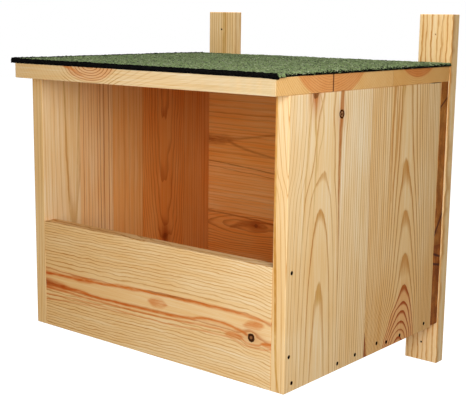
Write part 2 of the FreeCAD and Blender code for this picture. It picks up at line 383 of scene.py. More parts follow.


# %% [markdown]
# ## The growth rings
#
# The distance to the pith is bent before it is cut into rings: slowly, because a trunk sways; a
# little faster, which gives the arches their uneven flame edge; and around each knot.
#
# Within a ring the spring wood darkens gradually into summer wood and then stops sharply, and that
# one-sided edge is what makes the lines read as wood and not as stripes.
#
# Deeper wood is made with a gamma step and not by dimming. It darkens and reddens at once, as
# oiled or old pine does, where dimming would only turn it grey. The same step also carries
# painted shade, where a board's staves are set deeper for their place in shadow inside the box.

# %% Rings and fibres of one board
def pine(name, board):
    g = Graph(name)
    along, across, through = board_axes(g, board)
    seed = board.seed
    starts = [stave.start for stave in board.staves]
    steps = [g.step(across, start) for start in starts[1:]]
    own = pick(g, steps, [seed + 7.3 * i for i in range(len(starts))])

    def of_stave(key):
        return pick(g, steps, [g.along(along, getattr(stave, key)) for stave in board.staves])

    bent, rim, inner, halo = knots_of(g, board, along, across)
    if board.ripple:
        short = g.vector(g.over(along, 24), g.over(across, 9), seed)
        bent = g.plus(bent, g.times(g.noise(short, 2.0), board.ripple))

    sway = of_stave("sway")
    slow = g.noise(g.vector(g.over(along, 170), own, 0.3))
    slow_too = g.noise(g.vector(g.over(along, 150), own, 5.1))
    wavy = g.noise(g.vector(g.over(along, 42), g.over(bent, 14), g.plus(own, g.over(through, 14))), 1.0)
    fine = g.noise(g.vector(g.over(along, 12), g.over(bent, 2.6), g.plus(own, g.over(through, 2.6))))
    side = g.plus(g.minus(bent, of_stave("across")), g.times(slow, sway))
    depth = g.plus(g.minus(through, of_stave("behind")), g.times(slow_too, sway, 0.3))
    radius = g.sum("SQRT", g.plus(g.times(side, side), g.times(depth, depth)))
    radius = g.plus(radius, g.times(wavy, of_stave("wave")), g.times(fine, 0.35))

    years = g.over(radius, of_stave("ring"))
    width = g.noise(g.vector(g.over(radius, 13), own, 9.0), 1.0)
    years = g.plus(years, g.times(width, of_stave("uneven")))
    part = g.sum("FRACT", years)
    summer = g.times(g.ramp(part, of_stave("fade"), 0.93), g.ramp(part, 1.0, 0.96))
    vigour = g.chance(g.plus(g.sum("FLOOR", years), own))
    summer = g.times(summer, g.plus(0.65, g.times(vigour, 0.6)), of_stave("dark"))

    sawn = facing(g, board, 0)
    summer = g.times(summer, g.minus(1.0, g.times(sawn, 0.45)))
    threads = g.noise(g.vector(g.over(along, 50), g.over(across, 0.6), g.over(through, 0.6)), 3.0, 0.6)
    lines = g.noise(g.vector(g.over(along, 120), g.over(across, 1.7), g.plus(own, g.over(through, 1.7))), 1.0)
    bands = g.noise(g.vector(g.over(along, 200), g.over(across, 6), g.plus(own, g.over(through, 6))), 1.0)
    pools = g.noise(g.vector(g.over(along, 90), g.over(across, 30), own), 1.0)
    speck = g.noise(g.vector(g.over(along, 3), g.over(across, 0.8), g.over(through, 0.8)))
    deep_and_shade = g.plus(g.times(threads, -1.1), g.times(lines, -1.25 * board.fibre), g.times(bands, -0.5))
    deep_and_shade = g.plus(g.times(deep_and_shade, g.minus(1.0, g.times(sawn, 0.6))), g.times(pools, -0.5))
    deep_and_shade = g.plus(deep_and_shade, of_stave("deep_and_shade"), g.times(sawn, g.plus(board.ends, g.times(speck, 0.8))))

    if board.edge:
        deep_and_shade = g.plus(deep_and_shade, g.times(facing(g, board, 1), board.edge))

    red = g.ramp(g.plus(g.minus(of_stave("heart"), radius), g.times(wavy, 3.0)), -1.5, 1.5)
    spring = g.blend(g.times(red, of_stave("blush")), SPRING_WOOD, board.flush)
    late = g.blend(red, SUMMER_WOOD, HEART_SUMMER)
    colour = g.blend(summer, spring, late)

    for streak in board.streaks:
        begin, end = streak.path[0][0], streak.path[-1][0]
        width = g.along(along, streak.width)
        shift = g.noise(g.vector(g.over(along, 30), begin + streak.path[0][1], seed), 2.0)
        line = g.plus(g.path(along, streak.path), g.times(shift, streak.loose))
        off = g.sum("ABSOLUTE", g.minus(through if streak.on_edge else across, line))
        outer, core = (1.7, 0.0) if streak.soft else (1.3, 0.6)
        inside = g.ramp(g.over(off, g.most(g.times(width, 0.5), 0.05)), outer, core)
        fade = streak.fade
        inside = g.times(inside, g.ramp(along, begin - fade, begin + fade))
        inside = g.times(inside, g.ramp(along, end + fade, end - fade))
        broken = g.noise(g.vector(g.over(along, 14), g.over(across, 2.5), begin), 2.0)
        inside = g.sum("MULTIPLY", inside, g.plus(0.9, g.times(broken, 1.5)), clamp=True)
        if streak.on_edge:
            inside = g.times(inside, g.ramp(across, 2.0, 0.5))
        colour = g.blend(g.times(inside, g.along(along, streak.strength)), colour, streak.colour)

    if board.stain:
        uneven = g.noise(g.vector(g.over(across, 16), g.over(through, 9), seed), 2.0)
        patchy = g.plus(board.stain, g.times(uneven, 1.3))
        stain = g.sum("MULTIPLY", sawn, patchy, clamp=True)
        colour = g.blend(stain, colour, STAIN)
    for near, far, width in board.checks:
        slant = g.path(through, [(0, near), (18, far)])
        off = g.sum("ABSOLUTE", g.minus(across, slant))
        check = g.times(g.ramp(off, width * 0.75, width * 0.25), sawn, 0.8)
        colour = g.blend(check, colour, CRACK)
    colour = g.blend(halo, colour, HEART_SUMMER)
    colour = g.blend(rim, colour, KNOT_RIM_AND_GAP_SHADE)
    colour = g.blend(g.times(inner, 0.75), colour, KNOT_WOOD)

    for start in starts[1:]:
        seam = g.bell(g.minus(across, start), 0.3)
        colour = g.blend(g.times(seam, 0.3), colour, RESIN)

    # Painted shade: a dark ring round each nail and pilot hole, where the hole lies in shadow.
    hole_shade = 0.0
    for spot, place in board.holes:
        ahead, aside = g.minus(along, spot), g.minus(across, place)
        span = g.sum("SQRT", g.plus(g.times(ahead, ahead), g.times(aside, aside)))
        hole_shade = g.most(hole_shade, g.ramp(span, board.hole_shade_radius + 0.4, board.hole_shade_radius - 0.3))
    colour = g.blend(hole_shade, colour, HOLE_SHADE)

    gamma = g.add("ShaderNodeGamma", {"Color": colour, "Gamma": g.plus(1.0, deep_and_shade)})
    roughness = g.plus(0.58, g.times(g.plus(summer, sawn), 0.07))
    height = g.plus(g.times(summer, 0.6), g.times(threads, 0.8), g.times(rim, -0.8))
    dull = g.minus(1.0, g.most(g.most(rim, hole_shade), 0.0))
    return g.finish(gamma.outputs[0], roughness, height, 0.00012, g.times(dull, 0.12))


def wear(material, *names):
    """Gives ready-made pieces a material in place of their plain one."""
    for name in names:
        mesh = nodes[name].data
        mesh.materials.clear()
        mesh.materials.append(material)


# %% [markdown]
# ## The right-hand side panel
#
# This is the panel that faces the light, so its staves are laid out one by one. From the front:
# a stave with a slim arch in its middle and a knot that the saw has cut through at the top, a
# brown streak along the first glue line with a small round knot in it, a stave of fine straight
# grain, and last a broad stave with red arches that rise from the lower edge.

# %% Right side panel
right_low, right_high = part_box("right_side")
side_nails = nail_places("right_floor_nails", 0) + nail_places("right_front_nails", 0)
right_panel = Board(
    grain="zyx", low=(right_low.z, right_low.y, right_high.x), face=(1, 1, -1), seed=2.0, fibre=0.6,
    edge=0.12, flush=ROSE,
    holes=[((z - right_low.z) * MM, (y - right_low.y) * MM) for y, z in side_nails],
    staves=[
        Stave(0, across=[(0, 60), (198, 60), (240, 65), (318, 70)],
              behind=arches(52, 4, (112, 198, 240)), ring=4, sway=0, wave=0.5, uneven=0.5,
              dark=0.75, fade=0.74,
              deep_and_shade=[(0, 0.10), (50, 0.10), (80, 0.20), (200, 0.06), (318, -0.03)]),
        Stave(97, across=330, behind=60, ring=4.0, sway=2, wave=0.8, uneven=1.4, dark=1.15, fade=0.64,
              deep_and_shade=[(0, 0.12), (60, 0.11), (90, 0.04), (200, -0.07), (320, -0.14)]),
        Stave(158, across=[(0, 237), (40, 243), (72, 247), (113, 246), (230, 240), (320, 236)],
              behind=arches(36, 3, (8, 17, 27, 40, 51, 72, 113, 168, 230)),
              ring=3, sway=0, wave=0.45, uneven=0.0, dark=1.15, fade=0.54,
              deep_and_shade=[(0, 0.48), (60, 0.45), (120, 0.24), (320, 0.18)], heart=51.5, blush=0.5),
    ],
    knots=[Knot(along=318, across=46, radius=5.6, halo=0.95, eye=0.0, pale=0.1, bark=0.6),
           Knot(along=293, across=96, radius=5.0, pull=0.5, halo=0.45, pale=0.55)],
    streaks=[
        Streak([(135, 97), (160, 96.5), (240, 94), (300, 96), (322, 97)],
               width=[(135, 1.6), (240, 4.6), (285, 6.8), (322, 7.5)],
               strength=[(135, 0.0), (170, 0.8), (240, 1.0), (322, 1.0)], colour=BROWN),
        Streak([(225, 94.5), (300, 96), (322, 97)], [(225, 1), (285, 3.6), (322, 5)],
               [(225, 0), (285, 0.7), (322, 0.6)], RESIN, soft=True),
        Streak([(120, 27), (200, 30), (260, 34), (290, 37), (318, 43)], 1.8,
               [(120, 0), (200, 0.6), (318, 0.9)], GOLD),
        Streak([(150, 46), (232, 49), (250, 50), (270, 49), (290, 47), (320, 50)],
               [(150, 1.6), (320, 4)], [(150, 0), (240, 0.8), (320, 1.0)], GOLD),
        Streak([(235, 52), (255, 55), (270, 60), (285, 62), (300, 60), (320, 52)], 1.8,
               [(235, 0.4), (320, 0.9)], GOLD),
        Streak([(300, 47), (322, 46)], [(300, 1), (322, 9)], [(300, 0.3), (322, 0.9)], RESIN),
        Streak([(-5, 161), (31, 158.5)], [(-5, 8.5), (31, 0.3)], 0.9, RESIN, 0.3),
        Streak([(170, 203), (250, 205), (322, 210)], [(170, 1.5), (322, 6)],
               [(170, 0), (250, 0.8), (322, 1.0)], TIP),
        Streak([(180, 208), (240, 216), (322, 220)], 4.4, [(180, 0.3), (240, 0.8), (322, 0.9)], TIP),
        Streak([(84, 61), (112, 60.5)], [(84, 12), (100, 9), (112, 2)],
               [(84, 0), (98, 0.9), (112, 0.8)], GOLD, 0.5, soft=True),
        Streak([(192, 240), (229, 239)], [(192, 16), (215, 20), (229, 7)],
               [(192, 0), (218, 0.6), (229, 0.6)], TIP, 0.5, soft=True),
        Streak([(144, 243), (167, 243)], [(144, 16), (158, 16), (167, 6)],
               [(144, 0), (158, 0.6), (167, 0.6)], TIP, 0.5, soft=True),
        Streak([(80, 246), (112, 246)], [(80, 26), (100, 22), (112, 7)],
               [(80, 0), (100, 0.7), (112, 0.6)], TIP, 0.5, soft=True),
        # A thin dark strip along the top edge near the back: painted shade of the gap under the roof board.
        Streak([(317.2, 305), (322, 305)], 28, 0.95, KNOT_RIM_AND_GAP_SHADE, 0.3, fade=0.4),
        Streak([(285, 226), (322, 228)], [(285, 2), (322, 11)], [(285, 0), (322, 0.8)], GOLD),
        Streak([(-3, 7), (40, 12), (120, 14), (180, 16), (322, 16.5)], [(-3, 2.4), (180, 3.4), (322, 4)],
               1.0, GOLD, 0.8, on_edge=True),
        Streak([(60, 17.5), (322, 17.5)], [(60, 1), (322, 4)], [(60, 0.1), (322, 0.4)], AMBER, 0.8,
               on_edge=True),
    ],
)
wear(pine("right_side_pine", right_panel), "right_side")

# %% [markdown]
# ## The left-hand side panel
#
# Only its inner face and its front edge are in view, so this board is measured from the inside.

# %% Left side panel
left_low, left_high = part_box("left_side")
left_nails = nail_places("left_floor_nails", 0) + nail_places("left_front_nails", 0)
left_panel = Board(
    grain="zyx", low=(left_low.z, left_low.y, left_high.x), face=(1, 1, -1), seed=31.0, fibre=0.5,
    edge=0.26,
    # The staves darken and redden from the front edge towards the back of the box: painted shade of the box's
    # dark inside, laid into the wood.
    staves=[
        Stave(0, across=[(130, 50), (318, 51)], behind=[(0, 52), (130, 46), (318, 43)], ring=3.6,
              sway=0, uneven=1.0, dark=0.45, fade=0.7, deep_and_shade=0.12),
        Stave(62, across=180, behind=60, ring=4.4, sway=2, uneven=2.4, dark=0.75, fade=0.7, deep_and_shade=0.18,
              heart=200, blush=0.35),
        Stave(121, across=100, behind=90, ring=4.0, sway=2, dark=0.2, deep_and_shade=0.46, heart=300, blush=0.55),
        Stave(178, across=[(80, 226), (200, 223), (318, 225)],
              behind=[(60, 47), (85, 44), (100, 42), (155, 39), (240, 36), (318, 34.5)], ring=3.0, sway=0,
              wave=3.4, uneven=0.4, dark=0.38, fade=0.5, deep_and_shade=0.60, heart=200, blush=0.85),
        Stave(265, across=400, behind=90, ring=4.0, sway=2, dark=0.2, deep_and_shade=0.62, heart=500, blush=0.7),
    ],
    knots=[Knot(along=80, across=224, radius=5.0, halo=0.8, bark=0.15)],
    streaks=[
        Streak([(130, 44), (160, 42), (318, 36)], 2.8, 0.65, GOLD),
        Streak([(130, 54), (200, 57), (318, 63)], 2.8, 0.55, GOLD),
        Streak([(100, 49), (150, 49), (170, 49)], [(100, 14), (170, 8)], [(100, 0.9), (170, 0)], GOLD),
        Streak([(90, 99), (318, 97)], 1.6, 0.4),
        Streak([(90, 103), (318, 103.5)], 1.4, 0.35),
    ],
)
wear(pine("left_side_pine", left_panel), "left_side")

# %% [markdown]
# ## The front board
#
# A single wide board, sawn close to the middle of its tree. The pith lies behind a line a little
# below the board's middle, which puts a broad pale band there between two amber lines, with fine
# wavy lines above and below. One knot shows near the right-hand end.

# %% Front board
front_low, front_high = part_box("front_board")
front_panel = Board(
    grain="xzy", low=(front_low.x, front_low.z, front_low.y), seed=11.0, ripple=4.5,
    fibre=0.4,
    staves=[Stave(0, across=[(0, 64), (80, 64), (160, 66), (240, 68), (300, 68), (364, 62)],
                  behind=27.4, ring=3.0, sway=0, wave=1.8, uneven=0.3, dark=0.85, fade=0.6,
                  deep_and_shade=[(0, 0.49), (120, 0.32), (364, 0.08)], heart=30.5, blush=0.16)],
    knots=[Knot(along=337, across=54, radius=4.7, pull=1.0, halo=0.35, eye=0.0, pale=0.4, bark=0.95)],
    streaks=[
        Streak([(-3, 69), (80, 71.5), (160, 75.5), (240, 77.5), (300, 78), (366, 75)],
               [(-3, 6), (40, 4), (70, 6.5), (100, 3.5), (150, 4.6), (180, 3.4), (270, 4.2), (366, 3)],
               [(-3, 1.0), (160, 1.0), (230, 1.0), (290, 0.85), (366, 0.6)], AMBER, 3.0, soft=True),
        Streak([(175, 77.5), (255, 78.5)], 2.2, [(175, 0), (215, 0.75), (255, 0)]),
        Streak([(-3, 56), (60, 55), (100, 53.5), (200, 55), (250, 58), (285, 62.5), (315, 60), (332, 56)],
               [(-3, 13), (30, 9), (60, 5), (100, 4.2), (332, 3.6)],
               [(-3, 1.0), (50, 1.0), (200, 0.95), (332, 0.95)], AMBER, 2.4, soft=True),
        Streak([(-3, 57), (40, 56), (60, 55.5)], [(-3, 8), (60, 1)], [(-3, 0.6), (60, 0)], soft=True),
        Streak([(-3, 50), (100, 49), (200, 50), (300, 54), (325, 50), (337, 46.5), (352, 50), (366, 52)],
               2.6, 0.65, AMBER, 1.8),
        Streak([(-3, 41), (100, 44), (200, 44), (300, 48), (337, 43), (366, 47)], 2.2, 0.5, AMBER, 1.8),
        Streak([(-3, 34), (60, 39), (120, 41), (200, 40)], 2.0, [(-3, 0.6), (200, 0)], AMBER, 1.8),
        Streak([(182, 66), (213, 66)], [(182, 3), (197, 11), (213, 3)], 0.7, AMBER, 1.5, soft=True),
        Streak([(326, 66), (340, 69), (354, 70)], [(326, 3), (342, 11), (354, 4)], 0.7, AMBER, 1.5,
               soft=True),
        Streak([(300, 51), (326, 52)], [(300, 3), (315, 8), (326, 3)], 0.7, AMBER, 1.5, soft=True),
        Streak([(350, 50), (368, 50)], [(350, 2), (368, 12)], 0.8, AMBER, 1.5, soft=True),
    ],
)
wear(pine("front_board_pine", front_panel), "front_board")

# %% [markdown]
# ## The back panel
#
# Its staves lie across the box. It is seen inside, where light comes only off other wood, and as
# the strip of sawn ends between the side panel and the batten.

# %% Back panel
back_low, back_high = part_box("back_panel")
edge = (back_high.x - back_low.x) * MM
back_board = Board(
    grain="xzy", low=(back_low.x, back_low.z, back_low.y), seed=23.0, ripple=1.6, ends=0.25,
    fibre=0.4, flush=EMBER, stain=0.9, checks=[(122, 148, 7), (96, 90, 3), (83, 79, 3), (285, 297, 3)],
    staves=[
        Stave(0, across=[(0, 86), (90, 90), (160, 92), (edge, 60)], behind=[(0, 27), (108, 22), (200, 30)],
              ring=2.6, wave=2.6, dark=0.5, fade=0.5, deep_and_shade=0.30, heart=400, blush=0.85),
        Stave(107, across=60, behind=70, ring=3.4, dark=0.3, fade=0.6, deep_and_shade=0.06, heart=400, blush=0.85),
        Stave(180, across=330, behind=60, ring=6.0, wave=2.0, dark=0.3, deep_and_shade=0.06, heart=400, blush=1.0),
        Stave(230, across=330, behind=60, ring=6.5, wave=2.6, uneven=2.0, dark=0.4, fade=0.5, deep_and_shade=0.02,
              heart=400, blush=1.0),
    ],
    knots=[Knot(along=110, across=92, radius=3.0, pull=0.5, halo=0.7, bark=0.3)],
    streaks=[
        Streak([(-3, 213), (45, 214), (63, 216), (148, 229)], [(-3, 14), (45, 13), (70, 4.6), (148, 3)],
               [(-3, 0.95), (45, 0.85), (70, 0.65), (148, 0.6)],
               RESIN_RED, 1.0, soft=True),
        Streak([(54, 213), (88, 203), (148, 194)], [(54, 5), (88, 4), (148, 3)], 0.6, RESIN_RED, 1.0,
               soft=True),
        Streak([(-3, 182), (78, 177), (148, 172)], 2.0, 0.65, RESIN, 2.0),
        Streak([(-3, 174), (148, 165)], 1.6, 0.5, HEART_SUMMER, 3.0),
        Streak([(-3, 104), (78, 102), (148, 98)], 2.6, 0.7, HEART_SUMMER, 3.0),
        Streak([(60, 84), (108, 93), (132, 92)], [(60, 4), (108, 12), (132, 3)], 0.7, HEART_SUMMER, 2.0,
               soft=True),
    ],
)
wear(pine("back_panel_pine", back_board), "back_panel")

# %% [markdown]
# ## Floor and roof board
#
# The roof board's staves run from end to end of the box. Its right-hand end shows them sawn
# across: arcs, two red hearts and a drying crack down from one of them.

# %% Floor board and roof board
floor_low, floor_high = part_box("floor_board")
floor_panel = Board(
    grain="xyz", low=(floor_low.x, floor_low.y, floor_high.z), face=(1, 1, -1), seed=47.0,
    staves=[Stave(60 * i, across=60 * i + 70 - 55 * (i % 2), behind=28 + 9 * (i % 3), ring=2.8, dark=0.6,
                  deep_and_shade=0.5)
            for i in range(5)],
)
wear(pine("floor_board_pine", floor_panel), "floor_board")

roof_low, roof_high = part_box("roof_board")
length = (roof_high.x - roof_low.x) * MM
end = length - 4
roof_panel = Board(
    grain="xyz", low=(roof_low.x, roof_low.y, roof_high.z), face=(1, 1, -1), seed=5.0, ends=0.42,
    fibre=0.5, flush=ROSE,
    staves=[
        Stave(0, across=[(0, 60), (90, 18), (126, 3.4), (134, 1), (142, 3.4), (180, 18), (end, 56),
                         (end + 3, 100)],
              behind=[(0, -14), (134, 0), (200, -6), (end, -20), (end + 3, -59)], ring=2.7, sway=1,
              wave=2.2, fade=0.6, dark=[(0, 0.15), (80, 0.2), (96, 1.0), (175, 1.0), (190, 0.35), (end, 0.2),
                                        (end + 3, 0.7)],
              deep_and_shade=[(0, 0.24), (200, 0.08), (length, 0.20)],
              heart=[(0, 8), (80, 17), (185, 17), (240, 8), (end, 8), (end + 3, 86)], blush=0.7),
        Stave(225, across=284, behind=[(0, 20), (end, -20), (end + 3, -50)], ring=2.6, sway=1, dark=0.6,
              deep_and_shade=[(0, 0.1), (end, 0.1), (end + 3, 0.5)], heart=[(0, 10), (end, 10), (end + 3, 61)],
              blush=0.8),
    ],
    streaks=[
        Streak([(230, 9), (length + 4, 9)], 60, [(230, 0), (330, 0.6), (length, 0.9)], PALE, 0.0,
               on_edge=True),
        Streak([(end - 12, 101.5), (length + 4, 101.5)], 2.2, 1.0, CRACK, 2.0),
        Streak([(86, 0.5), (100, 3), (114, 8), (126, 13)], [(86, 2), (100, 4), (126, 1)],
               [(86, 0.9), (126, 0.3)], AMBER, 1.0, on_edge=True),
    ],
)
wear(pine("roof_board_pine", roof_panel), "roof_board")

# %% [markdown]
# ## The battens
#
# Each batten is a single strip. The right one has wavy growth lines with a pale edge, the left
# one straighter and a little greyer.

# %% Battens
for side, seed, middle, ring, ripple, dark, deep_and_shade in (
        ("left", 61.0, 90, 4.0, 0.8, 0.55, 0.19),
        ("right", 71.0, 110, 6.8, 7.0, 0.9, 0.14)):
    low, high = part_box(side + "_batten")
    centre_line = (high.x - low.x) / 2 * MM
    # The dark marks at each batten's pilot holes are painted shade.
    strip = Board(
        grain="zxy", low=(low.z, low.x, low.y), seed=seed, ripple=ripple, hole_shade_radius=1.3,
        holes=[(25, centre_line), ((high.z - low.z) * MM - 25, centre_line)][:2 if side == "left" else 1],
        fibre=0.6,
        staves=[Stave(0, across=middle, behind=24, ring=ring, wave=1.8, uneven=0.8, dark=dark, fade=0.5,
                      deep_and_shade=deep_and_shade)],
        streaks=[Streak([(-5, 27), (460, 29)], 6, 0.8, GOLD, 4.0)] if side == "left" else [],
    )
    wear(pine(side + "_batten_pine", strip), side + "_batten")

# %% [markdown]
# ## Nails and screws
#
# The nails are bare wire, driven a little below the wood, where no light reaches them. Their near-black
# colour is painted shade: dark dots are all that shows. The screws are zinc plated and sit flush in the
# battens' backs.

# %% Metal finishes
def metal(name, colour, roughness, scratch, bright):
    g = Graph(name)
    point = g.add("ShaderNodeTexCoord").outputs["Object"]
    split = g.add("ShaderNodeSeparateXYZ", {0: point})
    x, y, z = (g.times(split.outputs[i], MM) for i in range(3))
    blotch = g.noise(g.vector(g.over(x, 1.3), g.over(y, 1.3), g.over(z, 1.3)), 3.0)
    dull = tuple(0.45 * c for c in colour[:3]) + (1,)
    tone = g.blend(g.ramp(blotch, -0.1, 0.25), colour, dull)
    bump = g.add("ShaderNodeBump", {"Height": blotch, "Distance": scratch, "Strength": 1.0})
    rough = g.plus(roughness, g.times(blotch, 0.3))
    shader = g.add("ShaderNodeBsdfPrincipled", {"Base Color": tone, "Metallic": bright,
                                                "Specular IOR Level": 0.5 * bright,
                                                "Roughness": rough, "Normal": bump.outputs[0]})
    out = g.add("ShaderNodeOutputMaterial")
    g.tree.links.new(shader.outputs[0], out.inputs[0])
    return g.material


nail_rows = [name for name in nodes if name.endswith("_nails")]
screw_rows = [name for name in nodes if name.endswith("_screws")]
# Near black: painted shade of the holes the nails sit in, not the grey of bare wire.
wear(metal("nail_painted_shade", (0.016, 0.009, 0.006, 1), 0.8, 0.0001, 0.0), *nail_rows)
wear(metal("zinc", (0.62, 0.58, 0.47, 1), 0.38, 0.00005, 1.0), *screw_rows)

# %% [markdown]
# ## The roofing felt
#
# Roofing felt is a mat soaked in bitumen with crushed slate rolled into its top. The ready-made
# sheet is a plain plate, so a new piece stands in for it, the same size: a fine mesh whose top is
# pushed up and down grain by grain and whose cut edge is torn a little, as a knife leaves it.
# Relief of this kind has to be real, because it breaks up the outline of the roof.

# %% Felt mesh
felt_low, felt_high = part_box("roof_felt")
GRAIN = 0.0014          # about one granule
EDGE_ROWS = 4           # rows of faces down the cut edge
LIP = 0.0012            # how far the front edge hangs over the board
CORNER_LIP = 0.0010     # how much further it hangs at the front right corner
CORNER = 0.011          # how wide that sag is
FREE_END = 0.006        # how far from the left end the bitumen has swollen
INSET = 0.012           # where the flat underside begins


def felt_outline():
    """Ends of the front and back edges: the right-hand side is cut at a slant."""
    mesh = nodes["roof_felt"].data
    front = [v.co.x for v in mesh.vertices if v.co.y < felt_low.y + 1e-4]
    back = [v.co.x for v in mesh.vertices if v.co.y > felt_high.y - 1e-4]
    return min(front), max(front), min(back), max(back)


def wander(x, y, seed, size):
    """Noise that turns over about once in every size metres."""
    return noise.noise(Vector((x / size, y / size, seed)))


def swelling(x):
    """1 at the free left end, 0 a finger's width in from it."""
    return math.exp(-((x - felt_low.x) / FREE_END) ** 2)


def felt_top(i, j, columns, rows):
    """One point of the granule coat, kept inside a knife cut that strays a little."""
    left_front, right_front, left_back, right_back = felt_outline_ends
    u, v = i / columns, j / rows
    left = left_front + (left_back - left_front) * v
    right = right_front + (right_back - right_front) * v
    y = felt_low.y + (felt_high.y - felt_low.y) * v
    x = left + (right - left) * u
    stray_x = 0.0006 + 0.0008 * wander(y, 1 if u < 0.5 else 2, 0.5, 0.04) + 0.0006 * wander(y, 3, 7.5, 0.004)
    stray_y = 0.0006 + 0.0008 * wander(x, 3 if v < 0.5 else 4, 0.5, 0.05) + 0.0006 * wander(x, 5, 7.5, 0.004)
    x = min(max(x, left + stray_x), right - stray_x)
    y = min(max(y, felt_low.y + stray_y), felt_high.y - stray_y)
    inward = min(i, columns - i, j, rows - j)
    rounding = -0.0006 if inward == 0 else 0.0
    coat = 0.0010 * wander(x, y, 3, 0.0021) + 0.0005 * wander(x, y, 8, 0.0062)
    swell = 0.0005 * wander(x, y, 1, 0.07) + 0.0010 * swelling(x)
    return x, y, felt_high.z - 0.0004 + rounding + coat + swell


def felt_piece():
    columns = round((felt_high.x - felt_low.x) / GRAIN)
    rows = round((felt_high.y - felt_low.y) / GRAIN)
    grid = np.arange((columns + 1) * (rows + 1)).reshape(columns + 1, rows + 1)
    verts = [felt_top(i, j, columns, rows) for i in range(columns + 1) for j in range(rows + 1)]
    corners = (grid[:-1, :-1], grid[1:, :-1], grid[1:, 1:], grid[:-1, 1:])
    faces = np.stack([corner.ravel() for corner in corners], axis=1).tolist()
    rim = [*grid[:-1, 0], *grid[-1, :-1], *grid[:0:-1, -1], *grid[0, :0:-1]]
    rim = [int(k) for k in rim]
    count = len(rim)
    middle = (felt_low + felt_high) / 2

    def band(above, points):
        below = list(range(len(verts), len(verts) + count))
        verts.extend(points)
        for k in range(count):
            n = (k + 1) % count
            faces.append((above[n], above[k], below[k], below[n]))
        return below

    def sag(x, y):
        """How far the edge hangs below the top of the board."""
        corner = math.hypot(right_front_corner[0] - x, right_front_corner[1] - y)
        lip = LIP if y < felt_low.y + 0.003 and x > board_low.x else 0.0
        return lip + CORNER_LIP * math.exp(-(corner / CORNER) ** 2) + 0.0014 * swelling(x)

    def pushed(x, y, out):
        """The point moved outwards on whichever edges it lies."""
        near_x, near_y = abs(x - middle.x) > 0.19, abs(y - middle.y) > 0.17
        x += math.copysign(out, x - middle.x) if near_x else 0.0
        y += math.copysign(out, y - middle.y) if near_y else 0.0
        return x, y

    above = rim
    for row in range(1, EDGE_ROWS + 1):
        drop = row / EDGE_ROWS
        points = []
        for k in rim:
            x, y, z = verts[k]
            hang = sag(x, y)
            over = 0.0022 * drop if hang > 0.0002 and y < middle.y and x > board_low.x else 0.0
            out = 0.0005 * wander(x + y, row, 4, 0.003) + 0.0004 * math.sin(math.pi * drop)
            low = felt_low.z + 0.00005 - hang
            x, y = pushed(x, y, out + over)
            points.append((x, y, z + (low - z) * drop))
        above = band(above, points)
    lip_in = [(*pushed(*verts[k][:2], -0.0004), verts[k][2]) for k in above]
    above = band(above, lip_in)
    lip_up = [(x, y, felt_low.z + 0.00005) for x, y, z in lip_in]
    above = band(above, lip_up)
    flat = []
    for k in rim:
        x, y, z = verts[k]
        x = min(max(x, felt_low.x + INSET), felt_high.x - INSET)
        y = min(max(y, felt_low.y + INSET), felt_high.y - INSET)
        flat.append((x, y, felt_low.z + 0.00005))
    above = band(above, flat)
    base = len(verts)
    verts.append((middle.x, middle.y, felt_low.z + 0.00005))
    faces.extend((above[(k + 1) % count], above[k], base) for k in range(count))
    mesh = bpy.data.meshes.new("felt_sheet")
    mesh.from_pydata(verts, [], faces)
    mesh.validate()
    piece = bpy.data.objects.new("felt_sheet", mesh)
    bpy.context.scene.collection.objects.link(piece)
    print("felt:", len(verts), "points,", len(faces), "faces")
    return piece


felt_outline_ends = felt_outline()
board_low, board_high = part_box("roof_board")
right_front_corner = (felt_outline_ends[1], felt_low.y)
felt = felt_piece()
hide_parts("roof_felt")
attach(felt, "root")

# %% [markdown]
# ## Felt finish
#
# Crushed slate is never one green: most grains are a mid green, some nearly black where the
# bitumen shows between them, and a few catch the light. The cut edge is bare bitumen.

